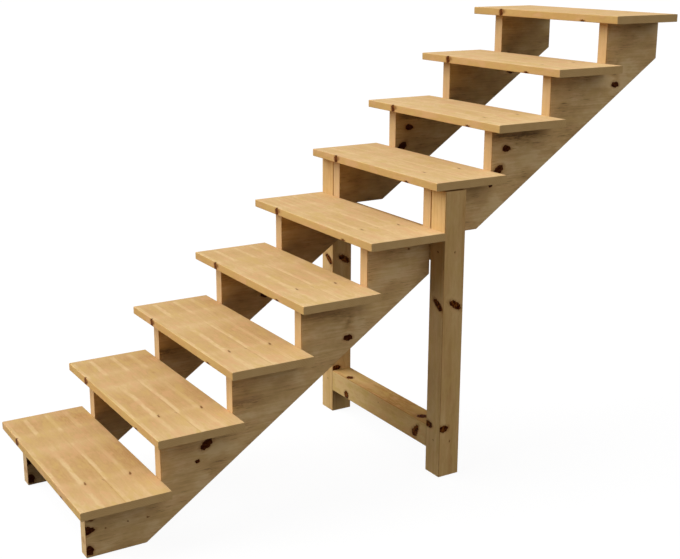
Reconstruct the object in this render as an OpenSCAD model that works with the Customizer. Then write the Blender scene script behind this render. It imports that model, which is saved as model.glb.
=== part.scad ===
// Outdoor wooden staircase: slab treads on two flights of sawtooth stringers,
// with a frame of two posts and two cross rails where the flights meet.
// X is the width of the stair, Y runs up the stair, Z is up.
// The origin is on the ground, under the middle of the stair.

/* [Steps] */
// Run from the front edge of one tread to the front edge of the next
going = 250; // [220:1:300]
// Height from one tread to the next
rise = 170; // [140:1:200]
// Steps carried by the lower flight
lower_steps = 5; // [3:1:6]
// Steps carried by the upper flight
upper_steps = 4; // [2:1:6]

/* [Treads] */
// Length of a tread, which is the width of the stair
tread_length = 800; // [600:1:1200]
// Thickness of a tread
tread_thickness = 27; // [18:1:50]
// Overhang of a tread past the plumb front edge under it
nosing = 40; // [10:1:60]
// Overhang of the top tread past the plumb upper ends of the stringers
top_overhang = 3; // [0:0.5:30]

/* [Stringers] */
// Thickness of a stringer plank
stringer_thickness = 44; // [30:1:60]
// Width of the plank, from the saw-tooth points to the sloping lower edge
stringer_width = 250; // [225:1:320]
// Distance from the ends of the treads in to the outer face of a stringer
stringer_setback = 86; // [62:1:140]

/* [Post frame] */
// Width of a post, across the stair
post_width = 80; // [40:1:110]
// Depth of a post, along the stair
post_depth = 84; // [40:1:110]
// Gap between a post and the stringers beside it
post_clearance = 3; // [0:0.5:20]
// Gap between the top of a post and the tread over it
post_headroom = 6; // [1:0.5:20]
// Depth of the cross rails, along the stair
rail_depth = 80; // [40:1:110]
// Height of the cross rails
rail_height = 84; // [40:1:110]
// Height of the lower cross rail's underside above the ground
lower_rail_z = 87; // [40:1:250]

/* [Hidden] */
steps = lower_steps + upper_steps;

// Each tread reaches back to the plumb cut behind it
tread_depth = going + nosing;
total_run = (steps - 1) * going + tread_depth;
front_y = -total_run / 2;

pitch = atan(rise / going);
// Plumb depth of wood left under the inner corner of each notch
throat_drop = stringer_width / cos(pitch) - rise;

// Outer faces of the stringers, and inner faces of the posts
stringer_x = tread_length / 2 - stringer_setback;
post_x = stringer_x + post_clearance;
lower_front_y = front_y + nosing;
upper_front_y = lower_front_y + lower_steps * going;
upper_foot_z = lower_steps * rise;
post_height = (lower_steps + 1) * rise - post_headroom;

light_pine = "#dcb682";
edge_pine = "#d5aa6e";
shade_pine = "#c29a62";

// Height of the sloping lower edge above the foot, at run y from the plumb front
function lower_edge(y) = y * rise / going - throat_drop;

// Side view of a flight with its plumb front edge and its level foot at the origin,
// cut plumb at run end_y
module stringer_profile(count, end_y) {
    teeth = [for (i = [0 : count - 1], up = [0 : 1]) [i * going, (i + up) * rise]];
    foot_y = throat_drop * going / rise;
    polygon(concat(
        teeth,
        [[end_y, count * rise], [end_y, lower_edge(end_y)], [foot_y, 0]]
    ));
}

// One stringer of a flight, with its outer face at x = 0 and its thickness towards +X
module stringer(count, end_y) {
    rotate([90, 0, 90]) linear_extrude(stringer_thickness) stringer_profile(count, end_y);
}

// Puts a piece drawn on the left side on the right side too, when side is 1
module on_side(side) {
    if (side > 0) mirror([1, 0, 0]) children();
    else children();
}

module tread(i) {
    color(light_pine)
        translate([-tread_length / 2, front_y + (i - 1) * going, i * rise])
            cube([tread_length, tread_depth, tread_thickness]);
}

module lower_stringer(side) {
    color(edge_pine) on_side(side)
        translate([-stringer_x, lower_front_y, 0]) stringer(lower_steps, lower_steps * going);
}

module upper_stringer(side) {
    color(edge_pine) on_side(side)
        translate([-stringer_x, upper_front_y, upper_foot_z])
            stringer(upper_steps, upper_steps * going - top_overhang);
}

// Post beside the flights, under the first upper tread
module post(side) {
    color(shade_pine) on_side(side)
        translate([-post_x - post_width, upper_front_y, 0])
            cube([post_width, post_depth, post_height]);
}

// Rail between the posts, with its underside at z
module cross_rail(z) {
    color(shade_pine)
        translate([-post_x, upper_front_y, z]) cube([2 * post_x, rail_depth, rail_height]);
}

module lower_cross_rail() {
    cross_rail(lower_rail_z);
}

// Rail that the lower flight ends against and the upper flight stands on
module upper_cross_rail() {
    cross_rail(upper_foot_z - rail_height);
}

for (i = [1 : steps]) {
    tread(i);
}
lower_stringer(-1);  // lower_stringer_left
lower_stringer(1);  // lower_stringer_right
upper_stringer(-1);  // upper_stringer_left
upper_stringer(1);  // upper_stringer_right
post(-1);  // post_left
post(1);  // post_right
lower_cross_rail();
upper_cross_rail();
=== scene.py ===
"""Looks for an open wooden staircase: pine treads on sawn stringers, carried half way by a post frame."""

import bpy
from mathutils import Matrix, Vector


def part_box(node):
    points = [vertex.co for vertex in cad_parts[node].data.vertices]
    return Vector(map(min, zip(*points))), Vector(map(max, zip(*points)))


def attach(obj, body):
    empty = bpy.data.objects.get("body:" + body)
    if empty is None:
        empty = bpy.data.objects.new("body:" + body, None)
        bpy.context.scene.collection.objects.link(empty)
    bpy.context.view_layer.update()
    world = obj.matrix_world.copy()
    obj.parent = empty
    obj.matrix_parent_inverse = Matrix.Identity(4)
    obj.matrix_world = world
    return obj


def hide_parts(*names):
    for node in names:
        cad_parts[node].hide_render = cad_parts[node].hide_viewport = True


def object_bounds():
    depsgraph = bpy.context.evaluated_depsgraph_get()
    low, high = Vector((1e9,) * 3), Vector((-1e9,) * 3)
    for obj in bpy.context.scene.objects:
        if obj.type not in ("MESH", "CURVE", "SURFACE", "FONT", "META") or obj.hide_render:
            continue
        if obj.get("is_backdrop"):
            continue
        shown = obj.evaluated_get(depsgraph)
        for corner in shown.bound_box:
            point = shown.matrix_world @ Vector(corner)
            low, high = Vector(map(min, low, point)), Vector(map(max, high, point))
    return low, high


bl_info = {
    "name": "Open Pine Staircase",
    "version": (1, 0, 0),
    "blender": (4, 5, 0),
    "location": "3D View > Sidebar > Staircase",
    "description": "Builds the eased boards, the knotty pine and the studio for an open wooden staircase",
    "category": "Add Mesh",
}

import math

import bmesh
import bpy
from bpy.props import FloatProperty, FloatVectorProperty, PointerProperty
from mathutils import Vector

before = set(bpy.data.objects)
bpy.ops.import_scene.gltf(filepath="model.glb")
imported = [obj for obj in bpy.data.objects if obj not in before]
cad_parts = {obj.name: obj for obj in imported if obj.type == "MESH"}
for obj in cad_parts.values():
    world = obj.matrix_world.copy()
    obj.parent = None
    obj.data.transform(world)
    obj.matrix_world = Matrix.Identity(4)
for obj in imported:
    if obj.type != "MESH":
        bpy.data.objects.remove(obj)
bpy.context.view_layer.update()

MM = 0.001
TREADS = ["tread_%d" % step for step in range(1, 10)]
STRINGERS = ["lower_stringer_left", "lower_stringer_right", "upper_stringer_left", "upper_stringer_right"]
POSTS = ["post_left", "post_right"]
RAILS = ["lower_cross_rail", "upper_cross_rail"]


# ---------------------------------------------------------------- shader sums

class Wire:
    """One output of a shader node, so that sums on the shader read as plain sums."""

    def __init__(self, bench, socket):
        self.bench = bench
        self.socket = socket

    def __add__(self, other):
        return self.bench.sum("ADD", self, other)

    def __radd__(self, other):
        return self.bench.sum("ADD", other, self)

    def __sub__(self, other):
        return self.bench.sum("SUBTRACT", self, other)

    def __rsub__(self, other):
        return self.bench.sum("SUBTRACT", other, self)

    def __mul__(self, other):
        return self.bench.sum("MULTIPLY", self, other)

    def __rmul__(self, other):
        return self.bench.sum("MULTIPLY", other, self)

    def __truediv__(self, other):
        return self.bench.sum("DIVIDE", self, other)

    def __rtruediv__(self, other):
        return self.bench.sum("DIVIDE", other, self)


class Bench:
    """A material's node tree, and the few ways in which nodes are put on it."""

    def __init__(self, tree):
        self.tree = tree
        self.tree.nodes.clear()

    def node(self, kind, settings=None, sockets=None, out=0):
        """Adds one node: its settings first, then the values or links of its sockets."""
        made = self.tree.nodes.new(kind)
        for setting, value in (settings or {}).items():
            if setting == "stops":
                ramp = made.color_ramp
                while len(ramp.elements) < len(value):
                    ramp.elements.new(1.0)
                for element, (place, colour) in zip(ramp.elements, value):
                    element.position = place
                    element.color = (*colour, 1.0)
            else:
                setattr(made, setting, value)
        for socket, value in (sockets or {}).items():
            if isinstance(value, Wire):
                self.tree.links.new(value.socket, made.inputs[socket])
            else:
                made.inputs[socket].default_value = value
        return Wire(self, made.outputs[out]) if len(made.outputs) else made

    def sum(self, operation, *terms):
        """A Math node on wires or numbers."""
        return self.node("ShaderNodeMath", {"operation": operation}, dict(enumerate(terms)))

    def least(self, first, second):
        """The smaller of two values."""
        return self.sum("MINIMUM", first, second)

    def most(self, first, second):
        """The larger of two values."""
        return self.sum("MAXIMUM", first, second)

    def size(self, value):
        """A value without its sign."""
        return self.sum("ABSOLUTE", value)

    def rise(self, value, low, high):
        """Eases from 0 at low to 1 at high. With low above high it eases down instead."""
        return self.node(
            "ShaderNodeMapRange",
            {"interpolation_type": "SMOOTHSTEP", "clamp": True},
            {"Value": value, "From Min": low, "From Max": high, "To Min": 0.0, "To Max": 1.0},
        )

    def choose(self, factor, first, second):
        """A value that goes from first at factor 0 to second at factor 1."""
        return self.node("ShaderNodeMix", {"data_type": "FLOAT"}, {0: factor, 2: first, 3: second}, 0)

    def tint(self, factor, first, second, blend="MIX"):
        """A colour that goes from first at factor 0 to second at factor 1."""
        first, second = (c if isinstance(c, Wire) else (*c, 1.0) for c in (first, second))
        return self.node(
            "ShaderNodeMix", {"data_type": "RGBA", "blend_type": blend}, {0: factor, 6: first, 7: second}, 2)

    def ramp(self, factor, stops):
        """A colour read off a row of (place, colour) stops."""
        return self.node("ShaderNodeValToRGB", {"stops": stops}, {0: factor})

    def height(self, factor, stops):
        """A value read off a row of (place, value) stops."""
        return self.ramp(factor, [(place, (value,) * 3) for place, value in stops])

    def join(self, x, y, z):
        """A vector of three values."""
        return self.node("ShaderNodeCombineXYZ", None, {0: x, 1: y, 2: z})

    def split(self, vector):
        """The three values of a vector."""
        first = self.node("ShaderNodeSeparateXYZ", None, {0: vector})
        return tuple(Wire(self, out) for out in first.socket.node.outputs)

    def cloud(self, vector, lengths, detail=2.0, rough=0.5, shift=(0.0, 0.0, 0.0)):
        """Noise from 0 to 1 whose blobs are about the given lengths along the three directions."""
        spread = self.node(
            "ShaderNodeMapping", {"vector_type": "POINT"},
            {"Vector": vector, "Location": shift, "Scale": tuple(1.0 / length for length in lengths)},
        )
        return self.node(
            "ShaderNodeTexNoise", None, {"Vector": spread, "Scale": 1.0, "Detail": detail, "Roughness": rough})


def linear(red, green, blue):
    """A colour given in the usual 0 to 255 steps, as the shader wants it."""
    def one(step):
        step = step / 255.0
        return step / 12.92 if step <= 0.04045 else ((step + 0.055) / 1.055) ** 2.4
    return (one(red), one(green), one(blue))


# ---------------------------------------------------------------- settings

class STAIR_PG_pine(bpy.types.PropertyGroup):
    """Colours and strengths of the pine."""

    pale: FloatVectorProperty(
        name="Pale wood", description="Colour of the lightest early wood",
        subtype="COLOR", size=3, min=0.0, max=1.0, default=linear(229, 196, 144))
    plain: FloatVectorProperty(
        name="Plain wood", description="Colour of most of a board",
        subtype="COLOR", size=3, min=0.0, max=1.0, default=linear(213, 175, 120))
    deep: FloatVectorProperty(
        name="Deep wood", description="Colour of the late wood lines and the warm bands",
        subtype="COLOR", size=3, min=0.0, max=1.0, default=linear(190, 143, 86))
    stain: FloatVectorProperty(
        name="Stain", description="Colour of the darkest smudges and dashes",
        subtype="COLOR", size=3, min=0.0, max=1.0, default=linear(138, 98, 58))
    dull_deep: FloatVectorProperty(
        name="Dull deep wood", description="Colour of the late wood lines on the stringers, which lean to grey",
        subtype="COLOR", size=3, min=0.0, max=1.0, default=linear(188, 150, 98))
    dull_stain: FloatVectorProperty(
        name="Dull stain", description="Colour of the darkest smudges and dashes on the stringers",
        subtype="COLOR", size=3, min=0.0, max=1.0, default=linear(136, 108, 72))
    rosy: FloatVectorProperty(
        name="Rosy wood", description="Colour of the patches that lean to pink",
        subtype="COLOR", size=3, min=0.0, max=1.0, default=linear(220, 173, 124))
    straw: FloatVectorProperty(
        name="Straw wood", description="Colour of the patches that lean to yellow",
        subtype="COLOR", size=3, min=0.0, max=1.0, default=linear(213, 178, 110))
    sawn: FloatVectorProperty(
        name="Sawn end", description="Colour of the end grain",
        subtype="COLOR", size=3, min=0.0, max=1.0, default=linear(213, 177, 121))
    knot_rim: FloatVectorProperty(
        name="Knot rim", description="Colour of the bark ring round a knot",
        subtype="COLOR", size=3, min=0.0, max=1.0, default=linear(46, 5, 0))
    # painted light: the treads, which lie in the light, get this lighter copy of the knot rim; the shaded
    # stringers keep the darker rim above
    tread_knot: FloatVectorProperty(
        name="Tread knot", description="Colour of the bark ring round a knot of a tread",
        subtype="COLOR", size=3, min=0.0, max=1.0, default=linear(76, 30, 0))
    knot_body: FloatVectorProperty(
        name="Knot body", description="Colour of the wood inside a knot",
        subtype="COLOR", size=3, min=0.0, max=1.0, default=linear(150, 86, 30))
    knot_halo: FloatVectorProperty(
        name="Knot halo", description="Colour of the resin stained wood round a knot",
        subtype="COLOR", size=3, min=0.0, max=1.0, default=linear(158, 96, 42))
    faint_heart: FloatVectorProperty(
        name="Faint knot", description="Colour of the middle of a small faint knot",
        subtype="COLOR", size=3, min=0.0, max=1.0, default=linear(112, 66, 24))
    faint_halo: FloatVectorProperty(
        name="Faint knot halo", description="Colour of the wood round a small faint knot",
        subtype="COLOR", size=3, min=0.0, max=1.0, default=linear(188, 138, 84))
    tread_front: FloatVectorProperty(
        name="Tread front", description="Colour that the front and back edges of the treads lean to",
        subtype="COLOR", size=3, min=0.0, max=1.0, default=linear(205, 161, 92))
    stringer_front_left: FloatVectorProperty(
        name="Left stringer fronts", description="Colour that the plumb cuts of the left stringers lean to",
        subtype="COLOR", size=3, min=0.0, max=1.0, default=linear(213, 180, 138))
    stringer_front_right: FloatVectorProperty(
        name="Right stringer fronts", description="Colour that the plumb cuts of the right stringers lean to",
        subtype="COLOR", size=3, min=0.0, max=1.0, default=linear(214, 178, 129))
    roughness: FloatProperty(
        name="Roughness", description="Roughness of the planed faces",
        min=0.2, max=1.0, default=0.62, subtype="FACTOR")
    bloom: FloatProperty(
        name="Dusty bloom", description="How pale the planed faces turn when seen at a low angle",
        min=0.0, max=1.0, default=0.07, subtype="FACTOR")
    sheen: FloatProperty(
        name="Sheen level", description="How strongly the planed faces reflect",
        min=0.0, max=1.0, default=0.02, subtype="FACTOR")


class STAIR_PG_boards(bpy.types.PropertyGroup):
    """How far the corners of the boards are eased."""

    tread_edge: FloatProperty(
        name="Tread edge", description="Radius of the long edges of a tread",
        min=0.0002, max=0.008, default=0.0025, subtype="DISTANCE", unit="LENGTH")
    stringer_edge: FloatProperty(
        name="Stringer edge", description="Radius of the corners of a sawn stringer",
        min=0.0002, max=0.006, default=0.0016, subtype="DISTANCE", unit="LENGTH")
    frame_edge: FloatProperty(
        name="Frame edge", description="Radius of the long edges of posts and rails",
        min=0.0002, max=0.010, default=0.0030, subtype="DISTANCE", unit="LENGTH")
    cut_edge: FloatProperty(
        name="Cut edge", description="Radius of the edges of a sawn end",
        min=0.0002, max=0.004, default=0.0010, subtype="DISTANCE", unit="LENGTH")


class STAIR_PG_stage(bpy.types.PropertyGroup):
    """The floor, the light and the view."""

    key_strength: FloatProperty(
        name="Key light", description="Strength of the broad key light",
        min=0.0, max=10.0, default=3.65)
    key_turn: FloatProperty(
        name="Key direction",
        description="Where the key light stands, round from straight in front towards the left",
        subtype="ANGLE", unit="ROTATION", default=math.radians(37.0))
    key_height: FloatProperty(
        name="Key height", description="How high the key light stands over the floor",
        subtype="ANGLE", unit="ROTATION", default=math.radians(41.0))
    side_strength: FloatProperty(
        name="Side light", description="Strength of the light that opens up the shaded side",
        min=0.0, max=10.0, default=1.02)
    side_turn: FloatProperty(
        name="Side direction",
        description="Where the side light stands, round from straight in front towards the left",
        subtype="ANGLE", unit="ROTATION", default=math.radians(-105.0))
    side_height: FloatProperty(
        name="Side height", description="How high the side light stands over the floor",
        subtype="ANGLE", unit="ROTATION", default=math.radians(34.0))
    back_strength: FloatProperty(
        name="Back light", description="Strength of the weak light from behind",
        min=0.0, max=10.0, default=0.35)
    back_turn: FloatProperty(
        name="Back direction",
        description="Where the back light stands, round from straight in front towards the left",
        subtype="ANGLE", unit="ROTATION", default=math.radians(180.0))
    back_height: FloatProperty(
        name="Back height", description="How high the back light stands over the floor",
        subtype="ANGLE", unit="ROTATION", default=math.radians(20.0))
    softness: FloatProperty(
        name="Softness", description="How wide the lights look from the staircase",
        subtype="ANGLE", unit="ROTATION", default=math.radians(68.0))
    even_strength: FloatProperty(
        name="Even light", description="Strength of the even light from all round",
        min=0.0, max=4.0, default=0.03)
    floor_shade: FloatProperty(
        name="Floor shade", description="How light the floor is to the light that falls on it",
        min=0.0, max=1.0, default=0.08, subtype="FACTOR")
    lens: FloatProperty(
        name="Lens", description="Focal length of the camera in millimetres",
        min=10.0, max=300.0, default=62.3)
    lens_shift: FloatVectorProperty(
        name="Lens shift", description="How far the view is shifted across and up, in picture widths",
        size=2, min=-0.5, max=0.5, default=(0.0245, -0.0181))
    camera_place: FloatVectorProperty(
        name="Camera place", description="Where the camera stands",
        size=3, subtype="TRANSLATION", unit="LENGTH", default=(3.4382, -2.1267, 1.7816))
    camera_turn: FloatVectorProperty(
        name="Camera turn", description="Which way the camera looks",
        size=3, subtype="EULER", unit="ROTATION", default=(math.radians(74.86), 0.0, math.radians(59.31)))


# ---------------------------------------------------------------- materials

def knots_of(bench, place, along, across, knots):
    """The distance to the nearest knot in knot radii, how far the grain is pushed aside, and how pale the wood
    is along the grain from a knot."""
    nearest = None
    push = None
    pale = None
    for centre, radii, turn, point in knots:
        local = bench.node(
            "ShaderNodeMapping", {"vector_type": "TEXTURE"},
            {"Vector": place, "Location": centre, "Rotation": (0.0, 0.0, turn), "Scale": radii})
        run, rise, deep = bench.split(local)
        reach = bench.node(
            "ShaderNodeVectorMath", {"operation": "LENGTH"},
            {0: bench.join(run, rise * (1.0 + bench.most(run * point, -0.6)), deep)}, out=1)
        aside = rise * radii[1] * bench.sum("EXPONENT", reach * reach * -0.42)
        size = max(radii[0], radii[1])
        far_along = (along - centre[0]) / (size * 2.6)
        far_across = (across - centre[1]) / (size * 1.1)
        flame = bench.sum("EXPONENT", far_along * far_along * -1.0 - far_across * far_across)
        nearest = reach if nearest is None else bench.least(nearest, reach)
        push = aside if push is None else push + aside
        pale = flame if pale is None else bench.most(pale, flame)
    return nearest, push, pale


def late_wood(bench, place, along, flow, through, pith, shift):
    """Dark lines of late wood: rings round a pith that runs along the board. pith is its place across and
    through the board, and how far apart the rings are."""
    across_pith, through_pith, spacing = pith
    sway = bench.cloud(place, (520.0, 90.0, 80.0), 2.0, 0.5, shift)
    quiver = bench.cloud(place, (90.0, 20.0, 20.0), 2.0, 0.5, shift)
    reach_across = flow - across_pith + (sway - 0.5) * 34.0
    reach_through = through - through_pith
    radius = bench.sum("SQRT", reach_across * reach_across + reach_through * reach_through)
    ring = bench.sum("FRACT", radius / spacing + along * 0.0012 + (quiver - 0.5) * 0.8)
    heavy = bench.cloud(place, (420.0, 34.0, 34.0), 1.0, 0.5, shift)
    return bench.rise(ring, 0.10, 0.86) * bench.rise(ring, 1.0, 0.90) * bench.rise(heavy, 0.30, 0.70)


# How dark the wood is, from 0 where it is palest: in most of a board, in a late wood line and in a stain.
PLAIN = 0.42
DEEP = 1.0
STAINED = 1.6


def torn_place(bench, place, tear):
    """The place, shoved about by a few millimetres, so that the knots' rims come out ragged."""
    shove = Vector((17.0, 15.0, 15.0)) * tear
    noise = bench.node(
        "ShaderNodeTexNoise", None, {"Vector": place, "Scale": 0.11, "Detail": 3.0, "Roughness": 0.60}, out=1)
    shoved = bench.node(
        "ShaderNodeVectorMath", {"operation": "MULTIPLY_ADD"}, {0: noise, 1: shove, 2: shove * -0.5})
    return bench.node("ShaderNodeVectorMath", {"operation": "ADD"}, {0: place, 1: shoved})


def smudged_and_shaded(bench, depth, along, flow, haze, mottle, smudges_and_shade):
    """How dark the wood is once soft patches lie on it, darker or paler; some of them are painted light and
    shade.
    """
    for centre, spread, strength in smudges_and_shade:
        off_along = (along - centre[0] + (haze - 0.5) * 120.0) / spread[0]
        off_across = (flow - centre[1] + (mottle - 0.5) * 30.0) / spread[1]
        cloud = bench.sum("EXPONENT", off_along * off_along * -1.0 - off_across * off_across)
        depth = depth + cloud * (strength * 0.4) + cloud * mottle * (strength * 1.2)
    return depth


def knotted(bench, look, wood, knot, faint, swirl, boldness, char, rim):
    """The wood with the faint knots on it and then the dark ones, how far a spot is inside a dark knot, and the
    fine rings there."""
    wood = bench.tint(bench.rise(faint, 2.2, 0.8) * 0.30, wood, look.faint_halo)
    wood = bench.tint(bench.rise(faint, 1.25, 0.35) * (0.45 + boldness * 0.50), wood, look.faint_heart)
    wood = bench.tint(bench.rise(knot, 1.7, 0.92) * 0.50, wood, look.knot_halo)
    whorl = bench.sum("SINE", knot * 13.0 + swirl * 9.0) * 0.5 + 0.5
    heart = bench.rise(swirl, 0.40, 0.64) * bench.rise(knot, 0.98, 0.62) * (0.75 + whorl * 0.5) * char
    heart = heart + whorl * 0.06
    inside = bench.rise(knot, 1.06, 0.90)
    wood = bench.tint(inside, wood, bench.tint(heart, rim or look.knot_rim, look.knot_body))
    return wood, inside, whorl


def pine(name, way, knots, faint_knots, seed, pith, tone=0.0, edge_shade=0.0, edge_tint=None, cast=None,
         lines=0.12, checks=0.0, smoke=0.1, patches=0.0, speckle=0.3, wisps=0.2, streaks=0.12, hues=0.4,
         smudges_and_shade=(), figure=None, boldness=1.0, dull=False, corner_shade=0.0, tear=1.0, char=0.5, rim=None, bloom=None):
    """Solid knotty pine.

    way(bench) gives the place along, across and through the board in millimetres, how far a face is a sawn end,
    how far it is an edge, and how far it is an eased corner. seed shifts every cloud, so that no two boards are
    alike.

    tone makes the whole board darker and edge_shade its edges; on the posts and rails edge_shade is painted
    shade on one pair of faces. edge_tint is a colour for the edges and how far they take it. cast is a colour
    that the board is multiplied by: its broad faces alone where the edges have a tint. corner_shade is how much
    darker the eased corners are, painted shade along them, and dull takes the colours that lean to grey.
    smudges_and_shade are soft darker or paler patches, some of them painted light and shade.

    lines, checks, smoke, patches, speckle, wisps and streaks are the strengths of the late wood lines, of short
    dark dashes, of small and large soft patches, of fine mottle, and of long thin and long broad bands. hues is
    how far patches lean to pink or yellow. figure(bench, along, across, streak) says how much paler the wood is
    there, and boldness how strongly it and the faint knots show.

    tear is how ragged the knots are, char how much wood shows inside their bark, and rim the bark's colour.
    bloom is how pale the faces turn at a low angle.
    """
    look = bpy.context.scene.stair_pine
    material = bpy.data.materials.new(name)
    material.use_nodes = True
    bench = Bench(material.node_tree)
    along, across, through, ends, edge, arris = way(bench)
    place = bench.join(along, across, through)
    shift = (seed * 7.31, seed * 3.77, seed * 1.93)

    # the knots, and the grain that flows round them
    torn = torn_place(bench, place, tear)
    knot, push, pale = knots_of(bench, torn, along, across, knots)
    faint, faint_push, faint_pale = knots_of(bench, torn, along, across, faint_knots)
    flow = across - push * 0.9 - faint_push * 0.8
    late = late_wood(bench, place, along, flow, through, pith, shift)

    grained = bench.join(along, flow, through)
    fibre = bench.cloud(grained, (30.0, 0.9, 0.9), 3.0, 0.6, shift)
    mottle = bench.cloud(grained, (22.0, 6.0, 6.0), 3.0, 0.7, shift)
    wisp = bench.cloud(grained, (150.0, 13.0, 13.0), 2.0, 0.55, shift[::-1])
    streak = bench.cloud(grained, (300.0, 8.0, 8.0), 2.0, 0.5, shift)
    band = bench.cloud(grained, (480.0, 38.0, 38.0), 1.0, 0.5, shift)
    haze = bench.cloud(place, (85.0, 48.0, 48.0), 3.0, 0.55, shift[::-1])
    blotch = bench.cloud(place, (150.0, 75.0, 75.0), 3.0, 0.5, shift)

    # how dark the wood is
    # painted shade on the faces counted as edges: the posts' sides and the rails' tops and undersides
    depth = PLAIN + tone + edge * edge_shade + (band - 0.5) * 0.30 + (streak - 0.5) * streaks
    depth = depth + (fibre - 0.5) * 0.10 + late * lines + (haze - 0.5) * smoke * 2.0
    depth = depth + (mottle - 0.5) * speckle + (blotch - 0.5) * patches + (wisp - 0.5) * wisps
    depth = depth - (pale * 0.22 + faint_pale * 0.06) * (0.6 + streak * 0.8)
    # soft patches: some are painted shade under the treads, and along the rails painted light and shade
    depth = smudged_and_shaded(bench, depth, along, flow, haze, mottle, smudges_and_shade)
    if figure:
        depth = depth - figure(bench, along, across, streak) * (1.0 - edge) * boldness
    if checks:
        dash = bench.rise(bench.cloud(grained, (46.0, 2.4, 2.4), 2.0, 0.5, shift), 0.58, 0.70)
        depth = depth + dash * bench.rise(blotch, 0.44, 0.60) * checks
    wood = bench.ramp(depth / STAINED, [
        (0.0, look.pale), (PLAIN / STAINED, look.plain),
        (DEEP / STAINED, look.dull_deep if dull else look.deep),
        (1.0, look.dull_stain if dull else look.stain)])

    # edges, patches of other hues, casts, and painted shade along the eased corners
    if edge_tint:
        edge_colour, strength = edge_tint
        wood = bench.tint(edge * strength, wood, edge_colour)
    hue = bench.cloud(grained, (60.0, 24.0, 24.0), 3.0, 0.6, shift[::-1]) * 0.6 + blotch * 0.4
    wood = bench.tint(bench.rise(hue, 0.50, 0.62) * hues, wood, look.rosy)
    wood = bench.tint(bench.rise(hue, 0.50, 0.38) * hues, wood, look.straw)
    if cast:
        wood = bench.tint(1.0 - edge if edge_tint else 1.0, wood, cast, "MULTIPLY")
    # painted shade: the eased corners are made darker
    if corner_shade:
        wood = bench.tint(arris * corner_shade, wood, look.deep, "MULTIPLY")

    # sawn ends: arcs of the same rings, with open pores
    pores = bench.cloud(place, (1.4, 1.1, 1.1), 2.0, 0.7, shift)
    cut = bench.tint(late * 0.30 + (pores - 0.5) * 0.35 + (haze - 0.5) * 0.3 + 0.12, look.sawn, look.deep)
    wood = bench.tint(ends, wood, cut)

    swirl = bench.cloud(place, (11.0, 7.0, 9.0), 3.0, 0.65, shift)
    wood, inside, whorl = knotted(bench, look, wood, knot, faint, swirl, boldness, char, rim)

    # gloss, and a fine relief along the grain
    gloss = look.roughness + (fibre - 0.5) * 0.16 + ends * 0.16 - late * 0.05
    groove = bench.rise(knot, 0.80, 0.98) * bench.rise(knot, 1.15, 1.0)
    relief = (fibre - 0.5) * 0.55 - late * 0.25 + (pores - 0.5) * ends * 1.2
    relief = relief + inside * whorl * 0.4 - groove * 0.8
    bump = bench.node("ShaderNodeBump", None, {"Strength": 0.40, "Distance": 0.0006, "Height": relief})
    shell = bench.node("ShaderNodeBsdfPrincipled", None, {
        "Base Color": wood, "Roughness": gloss, "Normal": bump, "Specular IOR Level": look.sheen,
        "Sheen Weight": look.bloom if bloom is None else bloom, "Sheen Roughness": 0.5,
        "Sheen Tint": (1.0, 0.92, 0.70, 1.0)})
    bench.node("ShaderNodeOutputMaterial", None, {"Surface": shell})
    return material


def facing(bench):
    """How squarely a face looks along each of the three directions, and how far it is an eased corner."""
    spot = bench.node("ShaderNodeTexCoord", None, None, out=1)
    look_x, look_y, look_z = bench.split(spot)
    squarest = bench.most(bench.most(bench.size(look_x), bench.size(look_y)), bench.size(look_z))
    return look_x, look_y, look_z, bench.rise(squarest, 0.98, 0.88)


def position(bench, corner):
    """Millimetres from a corner, along the three directions."""
    spot = bench.node("ShaderNodeTexCoord", None, None, out=3)
    moved = bench.node(
        "ShaderNodeMapping", {"vector_type": "POINT"},
        {"Vector": spot, "Location": tuple(-c / MM for c in corner), "Scale": (1.0 / MM,) * 3})
    return bench.split(moved)


def tread_way(corner):
    """Grain along the tread, measured from its left front lower corner."""
    def way(bench):
        x, y, z = position(bench, corner)
        look_x, look_y, look_z, arris = facing(bench)
        ends = bench.rise(bench.size(look_x), 0.6, 0.85)
        edge = bench.rise(bench.size(look_y), 0.6, 0.85)
        return x, y, z, ends, edge, arris
    return way


# The length over which a tread's pale streaks are laid out, and how far its two halves are apart.
FIGURE_LENGTH = 800.0
HALF_PITCH = 145.5


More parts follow.
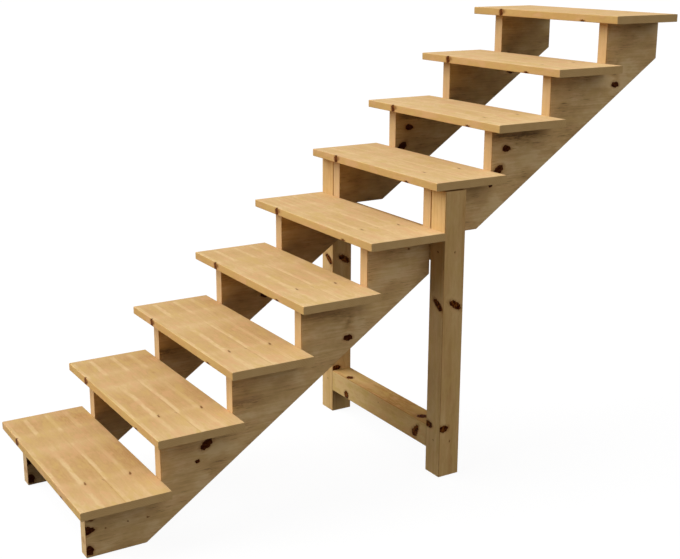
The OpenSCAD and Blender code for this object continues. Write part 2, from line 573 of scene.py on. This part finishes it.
def tread_figure(bench, along, across, streak):
    """Soft pale streaks of sap wood, two to each half of a tread, paler lengths between, the joint of the
    halves, and a darker strip along the back: painted shade under the next tread, with the wood's own tone."""
    wander = bench.cloud(bench.join(along, across, 0.0), (110.0, 30.0, 30.0), 2.0, 0.5)
    frayed = bench.cloud(bench.join(along, across, 40.0), (26.0, 7.0, 7.0), 2.0, 0.6)
    half = bench.sum("FLOORED_MODULO", across + 4.0, HALF_PITCH) + (wander - 0.5) * 15.0 + (frayed - 0.5) * 7.0
    length = along / FIGURE_LENGTH

    reach = bench.height(length, [
        (0.015, 0.0), (0.035, 0.85), (0.20, 0.75), (0.25, 0.0), (0.38, 0.05), (0.46, 0.45), (0.54, 0.85),
        (0.62, 1.0), (0.73, 0.95), (0.78, 0.10), (0.83, 0.36), (0.97, 0.30)])
    first = bench.rise(bench.size(half - 9.0), 11.0, 5.0)
    second = bench.rise(bench.size(half - 75.5), 11.5, 5.0)
    pale = (first * 0.80 + second) * reach * (0.70 + streak * 0.6)
    pale = pale * (1.0 - bench.rise(across, 185.0, 215.0) * 0.40)

    ridge = bench.rise(bench.size(across - 147.5 + (wander - 0.5) * 8.0), 5.0, 2.0)
    ridge = ridge * bench.rise(along, 250.0, 340.0) * (1.0 - bench.rise(along, 600.0, 650.0) * 0.45)

    plain = bench.height(length, [
        (0.02, 0.55), (0.10, 0.36), (0.17, 0.45), (0.21, 0.62), (0.27, 0.52), (0.34, 0.56), (0.38, 0.72),
        (0.44, 0.56), (0.49, 0.43), (0.58, 0.40), (0.72, 0.44), (0.76, 0.62), (0.80, 0.50), (0.84, 0.55),
        (0.95, 0.72)])
    # painted shade along the back strip, which lies under the next tread, with a darker tone of the wood
    back_shade = bench.rise(across, 215.0, 262.0) * (0.4 + bench.rise(along, 690.0, 600.0) * 0.6)

    open_joint = 0.10 + bench.rise(along, 200.0, 300.0) * 0.35 + bench.rise(along, 520.0, 640.0) * 0.55
    seam = bench.rise(bench.size(across - 140.8), 1.9, 0.5) * open_joint
    swirl = bench.rise(bench.size(along - 228.0), 36.0, 8.0) * bench.rise(bench.size(across - 219.0), 10.0, 2.0)
    return (pale * 0.62 + ridge * 0.20 - 0.060 + (plain - 0.52) * 1.25 - back_shade * 0.10 - seam * 0.42
            - swirl * frayed * 0.45)


def stringer_way(corner):
    """Level grain on the broad faces, upright on the plumb cuts, and no face counted as a sawn end."""
    def way(bench):
        x, y, z = position(bench, corner)
        look_x, look_y, look_z, arris = facing(bench)
        front = bench.rise(bench.size(look_y), 0.75, 0.9)
        broad = bench.rise(bench.size(look_x), 0.6, 0.85)
        along = bench.choose(front, y, z)
        across = bench.choose(broad, x, z)
        # the plumb cuts lie far behind the broad faces in the pattern, so that the two don't match
        through = bench.choose(front, x, y + 900.0)
        return along, across, through, 0.0, front, arris
    return way


def turned_way(corner, far, axis):
    """Grain along one axis, with the same figure on each of the four long faces of a square timber."""
    def way(bench):
        near_x, near_y, near_z = position(bench, corner)
        look_x, look_y, look_z, arris = facing(bench)
        wide = tuple((b - a) / MM for a, b in zip(corner, far))
        if axis == "z":
            from_front = bench.choose(bench.rise(look_y, -0.1, 0.1), near_x, wide[0] - near_x)
            from_side = bench.choose(bench.rise(look_x, -0.1, 0.1), wide[1] - near_y, near_y)
            pick = bench.rise(bench.size(look_x) - bench.size(look_y), -0.05, 0.05)
            across = bench.choose(pick, from_front, from_side)
            along = near_z
            ends = bench.rise(bench.size(look_z), 0.6, 0.85)
        else:
            from_front = bench.choose(bench.rise(look_y, -0.1, 0.1), near_z, wide[2] - near_z)
            from_top = bench.choose(bench.rise(look_z, -0.1, 0.1), wide[1] - near_y, near_y)
            pick = bench.rise(bench.size(look_z) - bench.size(look_y), -0.05, 0.05)
            across = bench.choose(pick, from_front, from_top)
            along = near_x
            ends = bench.rise(bench.size(look_x), 0.6, 0.85)
        # the two pairs of faces lie at different depths in the pattern, so that they don't match
        through = pick * 37.0 + 20.0
        return along, across, through, ends, pick, arris
    return way


# ---------------------------------------------------------------- the wood of each kind of board

# A knot's row: its middle along, across and through the board, its radii, how far it is turned, and how far it
# comes to a point. A knot with the radius RIGHT_THROUGH shows the same on both sides.
RIGHT_THROUGH = 900.0
TREAD_KNOTS = [
    ((168.0, 0.0, 13.5), (12.0, 5.0, 15.5), 0.0, 0.0),
    ((626.0, 0.0, 3.0), (12.5, 6.0, 4.2), 0.0, 0.0),
]
TREAD_FAINT = [
    ((616.5, 81.0, 27.0), (13.5, 4.0, 16.0), -0.14, 0.0),
    ((616.5, 226.5, 27.0), (13.5, 4.2, 16.0), -0.14, 0.0),
    ((618.0, 137.4, 27.0), (8.0, 1.7, 6.0), 0.0, 0.0),
    ((183.0, 0.0, 17.0), (12.0, 4.5, 9.0), 0.0, 0.0),
]
STRINGER_KNOTS = [
    ((51.0, 89.5, 0.0), (21.0, 12.5, RIGHT_THROUGH), 0.0, 0.55),
    ((51.0, 23.0, 0.0), (13.0, 17.0, RIGHT_THROUGH), 0.15, 0.0),
    ((447.0, 282.7, 0.0), (24.0, 14.5, RIGHT_THROUGH), 0.62, 0.0),
    ((415.0, 231.7, 0.0), (8.5, 6.5, RIGHT_THROUGH), 0.0, 0.0),
    ((967.0, 545.5, 0.0), (17.5, 11.0, RIGHT_THROUGH), -0.06, 0.0),
    ((479.0, 354.0, 0.0), (18.0, 11.5, RIGHT_THROUGH), -0.10, 0.2),
]
STRINGER_FAINT = [
    ((59.0, 121.0, 0.0), (13.0, 5.0, RIGHT_THROUGH), 0.0, 0.0),
    ((105.0, 84.0, 0.0), (3.4, 2.8, RIGHT_THROUGH), 0.0, 0.0),
    ((176.0, 89.0, 0.0), (3.8, 3.2, RIGHT_THROUGH), 0.0, 0.0),
    ((241.0, 85.5, 0.0), (4.4, 3.4, RIGHT_THROUGH), 0.0, 0.0),
    ((1204.0, 815.0, 0.0), (6.0, 4.0, RIGHT_THROUGH), 0.0, 0.0),
]
# A smudge on the broad faces: its middle along and across, its spread along and across, and how much darker it
# makes the wood, or paler where that is below zero. The long dark bands just under a tread are painted shade.
STRINGER_SMUDGES_AND_SHADE = [
    ((964.0, 600.0), (15.0, 34.0), 0.70),
    # painted shade: a dark band just under the fourth tread
    ((870.0, 640.0), (95.0, 18.0), 0.45),
    ((1008.0, 588.0), (26.0, 34.0), -0.60),
    ((434.0, 168.0), (24.0, 34.0), -0.60),
    # painted shade: a dark band just under the seventh tread, on the upper stringers
    ((535.0, 398.0), (90.0, 17.0), 1.10),
    # painted shade: a dark band just under the third tread
    ((600.0, 488.0), (150.0, 15.0), 0.30),
    ((1145.0, 745.0), (85.0, 36.0), -0.35),
    ((856.0, 572.0), (75.0, 30.0), -0.35),
    ((566.0, 321.0), (90.0, 32.0), -0.35),
]
POST_KNOTS = [
    ((621.0, 51.0, 0.0), (12.0, 29.0, RIGHT_THROUGH), 0.55, 0.0),
    ((178.0, 16.0, 0.0), (12.5, 20.0, RIGHT_THROUGH), 0.0, 0.0),
]
POST_FAINT = [
    ((806.0, 43.5, 0.0), (4.0, 3.2, RIGHT_THROUGH), 0.0, 0.0),
    ((126.0, 44.0, 0.0), (4.0, 3.4, RIGHT_THROUGH), 0.0, 0.0),
]
RAIL_KNOTS = [
    ((571.0, 38.0, 0.0), (28.0, 14.0, RIGHT_THROUGH), 0.95, 0.35),
    ((103.0, 16.0, 0.0), (15.0, 14.0, RIGHT_THROUGH), 0.0, 0.0),
]
RAIL_FAINT = [
    ((330.0, 62.0, 0.0), (3.0, 2.0, RIGHT_THROUGH), 0.0, 0.0),
]
# Painted light towards the rails' left end, and painted shade towards their right end where the staircase shades
# them.
RAIL_PAINTED_LIGHT_AND_SHADE = [
    ((90.0, 40.0), (120.0, 300.0), -0.34),
    ((440.0, 40.0), (120.0, 300.0), 0.32),
]

TREAD_WOOD = dict(
    knots=TREAD_KNOTS, faint_knots=TREAD_FAINT, pith=(66.0, -120.0, 6.5), figure=tread_figure,
    lines=0.10, hues=0.60, char=0.42)
STRINGER_WOOD = dict(
    knots=STRINGER_KNOTS, faint_knots=STRINGER_FAINT, pith=(120.0, -160.0, 9.0), smudges_and_shade=STRINGER_SMUDGES_AND_SHADE,
    lines=0.16, checks=0.90, smoke=0.85, patches=1.0, speckle=0.50, wisps=0.55, streaks=0.70, hues=0.25,
    dull=True, corner_shade=0.85, tear=0.75, char=0.22)
POST_WOOD = dict(
    knots=POST_KNOTS, faint_knots=POST_FAINT, pith=(34.0, -60.0, 6.0), cast=(1.0, 0.98, 0.90),
    lines=0.24, checks=0.30, smoke=0.20, patches=0.3, speckle=0.46, wisps=0.65, hues=0.3,
    corner_shade=0.55, char=0.75, bloom=0.0)
# The rails are made paler all over and darker on their tops and undersides: painted light on the fronts and
# painted shade on the tops.
RAIL_WOOD = dict(
    knots=RAIL_KNOTS, faint_knots=RAIL_FAINT, pith=(44.0, -60.0, 6.0), smudges_and_shade=RAIL_PAINTED_LIGHT_AND_SHADE,
    cast=(1.0, 0.98, 0.84), tone=-0.24, edge_shade=0.45,
    lines=0.20, checks=0.15, smoke=0.20, patches=0.4, speckle=0.46, wisps=0.60, hues=0.6,
    corner_shade=0.55, char=0.60, bloom=0.0)

# Tread by tread from the ground up: how much darker it is, and how strongly its pale streaks show. From the third
# tread to the eighth the treads are also made paler, a painted sheen for the low angle at which they are seen,
# besides each board's own tone. The upper treads have weaker streaks and more mottle.
TREAD_TONES_AND_SHEEN = (0.02, -0.02, -0.06, -0.13, -0.20, -0.21, -0.27, -0.22, -0.06)
TREAD_BOLDNESS = (1.0, 1.0, 0.90, 0.68, 0.52, 0.46, 0.42, 0.42, 0.42)
# The upper left stringer is darker and greyer on its broad faces than the other three: painted shade, since its
# inner face lies in shade under the treads.
STRINGER_TONES_AND_SHADE = {
    "lower_stringer_left": 0.0, "lower_stringer_right": -0.02,
    "upper_stringer_left": 0.18, "upper_stringer_right": -0.02,
}
# painted shade: the grey that the upper left stringer's broad faces are multiplied by
SHADE_CAST = (0.88, 0.95, 1.0)
# Left and right post: how much darker all of it is, and its two sides besides. The posts are made paler, painted
# light on their fronts, and their sides are held darker, painted shade.
POST_PAINTED_LIGHT_AND_SHADE = ((-0.14, 0.16), (-0.22, 0.24))
# The stringers' knots are measured from the foot of the lower left one, brought forward by a tread's nosing.
# Those of the upper flight are measured from a corner that much farther back and higher up.
NOSING = 40.0 * MM
UPPER_FLIGHT = Vector((0.0, 1125.0, 765.0)) * MM


# ---------------------------------------------------------------- boards

def whole_faces(node):
    """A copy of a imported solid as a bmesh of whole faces."""
    solid = bmesh.new()
    solid.from_mesh(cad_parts[node].data)
    bmesh.ops.remove_doubles(solid, verts=solid.verts, dist=1e-5)
    bmesh.ops.dissolve_limit(solid, angle_limit=math.radians(1.0), verts=solid.verts, edges=solid.edges)
    return solid


def ease(solid, edges, radius, segments):
    """Rounds the given edges."""
    bmesh.ops.bevel(
        solid, geom=edges, offset=radius, offset_type="OFFSET", affect="EDGES",
        segments=segments, profile=0.5, material=-1, clamp_overlap=True)


def runs_along(edge, axis):
    """Whether an edge is parallel to one of the three directions."""
    span = edge.verts[1].co - edge.verts[0].co
    return abs(span[axis]) > 0.999 * span.length


def set_down(solid, node, material):
    """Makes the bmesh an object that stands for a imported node."""
    mesh = bpy.data.meshes.new(node + "_board")
    solid.to_mesh(mesh)
    solid.free()
    mesh.materials.append(material)
    board = bpy.data.objects.new(node + "_board", mesh)
    bpy.context.scene.collection.objects.link(board)
    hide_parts(node)
    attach(board, "root")
    return board


def planed(node, axis, radius, cut):
    """A squared board with eased long edges and crisp sawn ends."""
    solid = whole_faces(node)
    ease(solid, [edge for edge in solid.edges if runs_along(edge, axis)], radius, 4)
    low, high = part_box(node)
    ends = [
        edge for edge in solid.edges
        if all(min(abs(v.co[axis] - low[axis]), abs(v.co[axis] - high[axis])) < 1e-5 for v in edge.verts)
    ]
    ease(solid, ends, cut, 2)
    return solid


class STAIR_OT_treads(bpy.types.Operator):
    """Build the nine pine treads"""

    bl_idname = "stair.treads"
    bl_label = "Treads"

    def execute(self, context):
        sizes = context.scene.stair_boards
        look = context.scene.stair_pine
        for step, node in enumerate(TREADS):
            solid = planed(node, 0, sizes.tread_edge, sizes.cut_edge)
            # the treads' knots take the lighter rim, painted light
            calm = 1.0 - TREAD_BOLDNESS[step]
            # the higher treads take a painted sheen along with their own tones
            wood = pine(
                node + "_pine", tread_way(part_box(node)[0]), seed=step + 1, tone=TREAD_TONES_AND_SHEEN[step],
                boldness=TREAD_BOLDNESS[step], smoke=0.08 + calm * 0.25, speckle=0.44 + calm * 0.60,
                wisps=0.20 + calm * 0.50, edge_tint=(look.tread_front, 0.75), rim=look.tread_knot, **TREAD_WOOD)
            set_down(solid, node, wood)
        return {"FINISHED"}


class STAIR_OT_stringers(bpy.types.Operator):
    """Build the four stepped stringers"""

    bl_idname = "stair.stringers"
    bl_label = "Stringers"

    def execute(self, context):
        sizes = context.scene.stair_boards
        look = context.scene.stair_pine
        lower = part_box("lower_stringer_left")[0] - Vector((0.0, NOSING, 0.0))
        for count, node in enumerate(STRINGERS):
            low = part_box(node)[0]
            solid = whole_faces(node)
            ease(solid, list(solid.edges), sizes.stringer_edge, 2)
            corner = lower + UPPER_FLIGHT if node.startswith("upper") else lower
            front = look.stringer_front_left if node.endswith("left") else look.stringer_front_right
            # the upper left stringer takes painted shade
            wood = pine(
                node + "_pine", stringer_way((low.x, corner.y, corner.z)), seed=21 + count,
                tone=STRINGER_TONES_AND_SHADE[node], edge_tint=(front, 0.6),
                cast=SHADE_CAST if node == "upper_stringer_left" else None, **STRINGER_WOOD)
            set_down(solid, node, wood)
        return {"FINISHED"}


class STAIR_OT_frame(bpy.types.Operator):
    """Build the two posts and the two cross rails"""

    bl_idname = "stair.frame"
    bl_label = "Post frame"

    def execute(self, context):
        sizes = context.scene.stair_boards
        for count, node in enumerate(POSTS):
            solid = planed(node, 2, sizes.frame_edge, sizes.cut_edge)
            # the post's front takes painted light and its sides painted shade
            tone, side_shade = POST_PAINTED_LIGHT_AND_SHADE[count]
            wood = pine(
                node + "_pine", turned_way(*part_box(node), "z"), seed=31 + count, tone=tone, edge_shade=side_shade,
                **POST_WOOD)
            set_down(solid, node, wood)
        for count, node in enumerate(RAILS):
            solid = planed(node, 0, sizes.frame_edge, sizes.cut_edge)
            wood = pine(node + "_pine", turned_way(*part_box(node), "x"), seed=41 + count, **RAIL_WOOD)
            set_down(solid, node, wood)
        return {"FINISHED"}


# ---------------------------------------------------------------- stage

WHITE = (1.0, 1.0, 1.0, 1.0)
# The camera sees the floor as a pale paint under a white glow, which is this share of it.
FLOOR_PALE = (0.96, 0.96, 0.96, 1.0)
FLOOR_GLOW = 1.04
GLOW_SHARE = 0.90
FLOOR_REACH = 80.0
LAMP_DISTANCE = 4.0
SENSOR_WIDTH = 36.0
SIGHT = 400.0


def bright_to_camera(bench):
    """1 where a ray comes straight from the camera or off something shiny or clear."""
    rays = bench.node("ShaderNodeLightPath", None, None, out=0)
    outs = rays.socket.node.outputs
    seen = bench.most(rays, Wire(bench, outs["Is Glossy Ray"]))
    return bench.most(seen, Wire(bench, outs["Is Transmission Ray"]))


def floor_paint(look):
    """Paint that takes the staircase's shadow, and lights the staircase less than it shows to the camera."""
    material = bpy.data.materials.new("studio_floor_paint")
    material.use_nodes = True
    bench = Bench(material.node_tree)
    paint = bench.node("ShaderNodeBsdfDiffuse", None, {"Color": (look.floor_shade,) * 3 + (1.0,)})
    pale = bench.node("ShaderNodeBsdfDiffuse", None, {"Color": FLOOR_PALE})
    white = bench.node("ShaderNodeEmission", None, {"Color": WHITE, "Strength": FLOOR_GLOW})
    shown = bench.node("ShaderNodeMixShader", None, {0: GLOW_SHARE, 1: pale, 2: white})
    seen = bench.node("ShaderNodeMixShader", None, {0: bright_to_camera(bench), 1: paint, 2: shown})
    bench.node("ShaderNodeOutputMaterial", None, {"Surface": seen})
    return material


def lay_floor(scene, look):
    """A broad level floor under the feet of the lower stringers and the posts."""
    floor_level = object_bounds()[0][2]
    plane = bmesh.new()
    bmesh.ops.create_grid(plane, x_segments=1, y_segments=1, size=FLOOR_REACH)
    bmesh.ops.translate(plane, verts=plane.verts, vec=(0.0, 0.0, floor_level))
    mesh = bpy.data.meshes.new("studio_floor")
    plane.to_mesh(mesh)
    plane.free()
    mesh.materials.append(floor_paint(look))
    floor = bpy.data.objects.new("studio_floor", mesh)
    scene.collection.objects.link(floor)
    floor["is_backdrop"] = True


def fill_air(scene, look):
    """Weak even light from all round, which the camera sees as white."""
    world = bpy.data.worlds.new("studio_air")
    scene.world = world
    world.use_nodes = True
    bench = Bench(world.node_tree)
    even = bench.node("ShaderNodeBackground", None, {"Color": WHITE, "Strength": look.even_strength})
    white = bench.node("ShaderNodeBackground", None, {"Color": WHITE, "Strength": 1.0})
    seen = bench.node("ShaderNodeMixShader", None, {0: bright_to_camera(bench), 1: even, 2: white})
    bench.node("ShaderNodeOutputWorld", None, {"Surface": seen})


def hang_lamp(scene, look, title, strength, turn, height):
    """A broad soft light, turned round from straight in front towards the left, and raised over the floor."""
    sun = bpy.data.lights.new(title, "SUN")
    sun.energy = strength
    sun.angle = look.softness
    lamp = bpy.data.objects.new(title, sun)
    scene.collection.objects.link(lamp)
    level = math.cos(height)
    toward = Vector((-math.sin(turn) * level, -math.cos(turn) * level, math.sin(height)))
    lamp.rotation_euler = toward.to_track_quat("Z", "Y").to_euler()
    lamp.location = toward * LAMP_DISTANCE


def set_camera(scene, look):
    """The camera that looks at the staircase from the right, a little above it."""
    lens = bpy.data.cameras.new("view")
    lens.lens = look.lens
    lens.sensor_width = SENSOR_WIDTH
    lens.shift_x, lens.shift_y = look.lens_shift
    lens.clip_end = SIGHT
    camera = bpy.data.objects.new("view", lens)
    scene.collection.objects.link(camera)
    camera.location = look.camera_place
    camera.rotation_euler = look.camera_turn
    scene.camera = camera


class STAIR_OT_stage(bpy.types.Operator):
    """Lay the pale floor and set the light and the camera"""

    bl_idname = "stair.stage"
    bl_label = "Stage"

    def execute(self, context):
        scene = context.scene
        look = scene.stair_stage
        lay_floor(scene, look)
        fill_air(scene, look)
        hang_lamp(scene, look, "key_light", look.key_strength, look.key_turn, look.key_height)
        hang_lamp(scene, look, "side_light", look.side_strength, look.side_turn, look.side_height)
        hang_lamp(scene, look, "back_light", look.back_strength, look.back_turn, look.back_height)
        set_camera(scene, look)
        scene.view_settings.view_transform = "Standard"
        return {"FINISHED"}


class STAIR_PT_staircase(bpy.types.Panel):
    """The staircase's pieces and settings"""

    bl_label = "Staircase"
    bl_idname = "STAIR_PT_staircase"
    bl_space_type = "VIEW_3D"
    bl_region_type = "UI"
    bl_category = "Staircase"

    def draw(self, context):
        layout = self.layout
        for title, settings in (
            ("Boards", context.scene.stair_boards),
            ("Pine", context.scene.stair_pine),
            ("Stage", context.scene.stair_stage),
        ):
            box = layout.box()
            box.label(text=title)
            for key in settings.__annotations__:
                box.prop(settings, key)
        for operator in OPERATORS:
            layout.operator(operator.bl_idname)


GROUPS = (STAIR_PG_pine, STAIR_PG_boards, STAIR_PG_stage)
OPERATORS = (STAIR_OT_treads, STAIR_OT_stringers, STAIR_OT_frame, STAIR_OT_stage)


def register():
    for group in GROUPS + OPERATORS + (STAIR_PT_staircase,):
        bpy.utils.register_class(group)
    bpy.types.Scene.stair_pine = PointerProperty(type=STAIR_PG_pine)
    bpy.types.Scene.stair_boards = PointerProperty(type=STAIR_PG_boards)
    bpy.types.Scene.stair_stage = PointerProperty(type=STAIR_PG_stage)


def unregister():
    del bpy.types.Scene.stair_stage
    del bpy.types.Scene.stair_boards
    del bpy.types.Scene.stair_pine
    for group in reversed(GROUPS + OPERATORS + (STAIR_PT_staircase,)):
        bpy.utils.unregister_class(group)


def main():
    """Builds the boards and the stage."""
    register()
    bpy.ops.stair.treads()
    bpy.ops.stair.stringers()
    bpy.ops.stair.frame()
    bpy.ops.stair.stage()


if __name__ == "__main__":
    main()
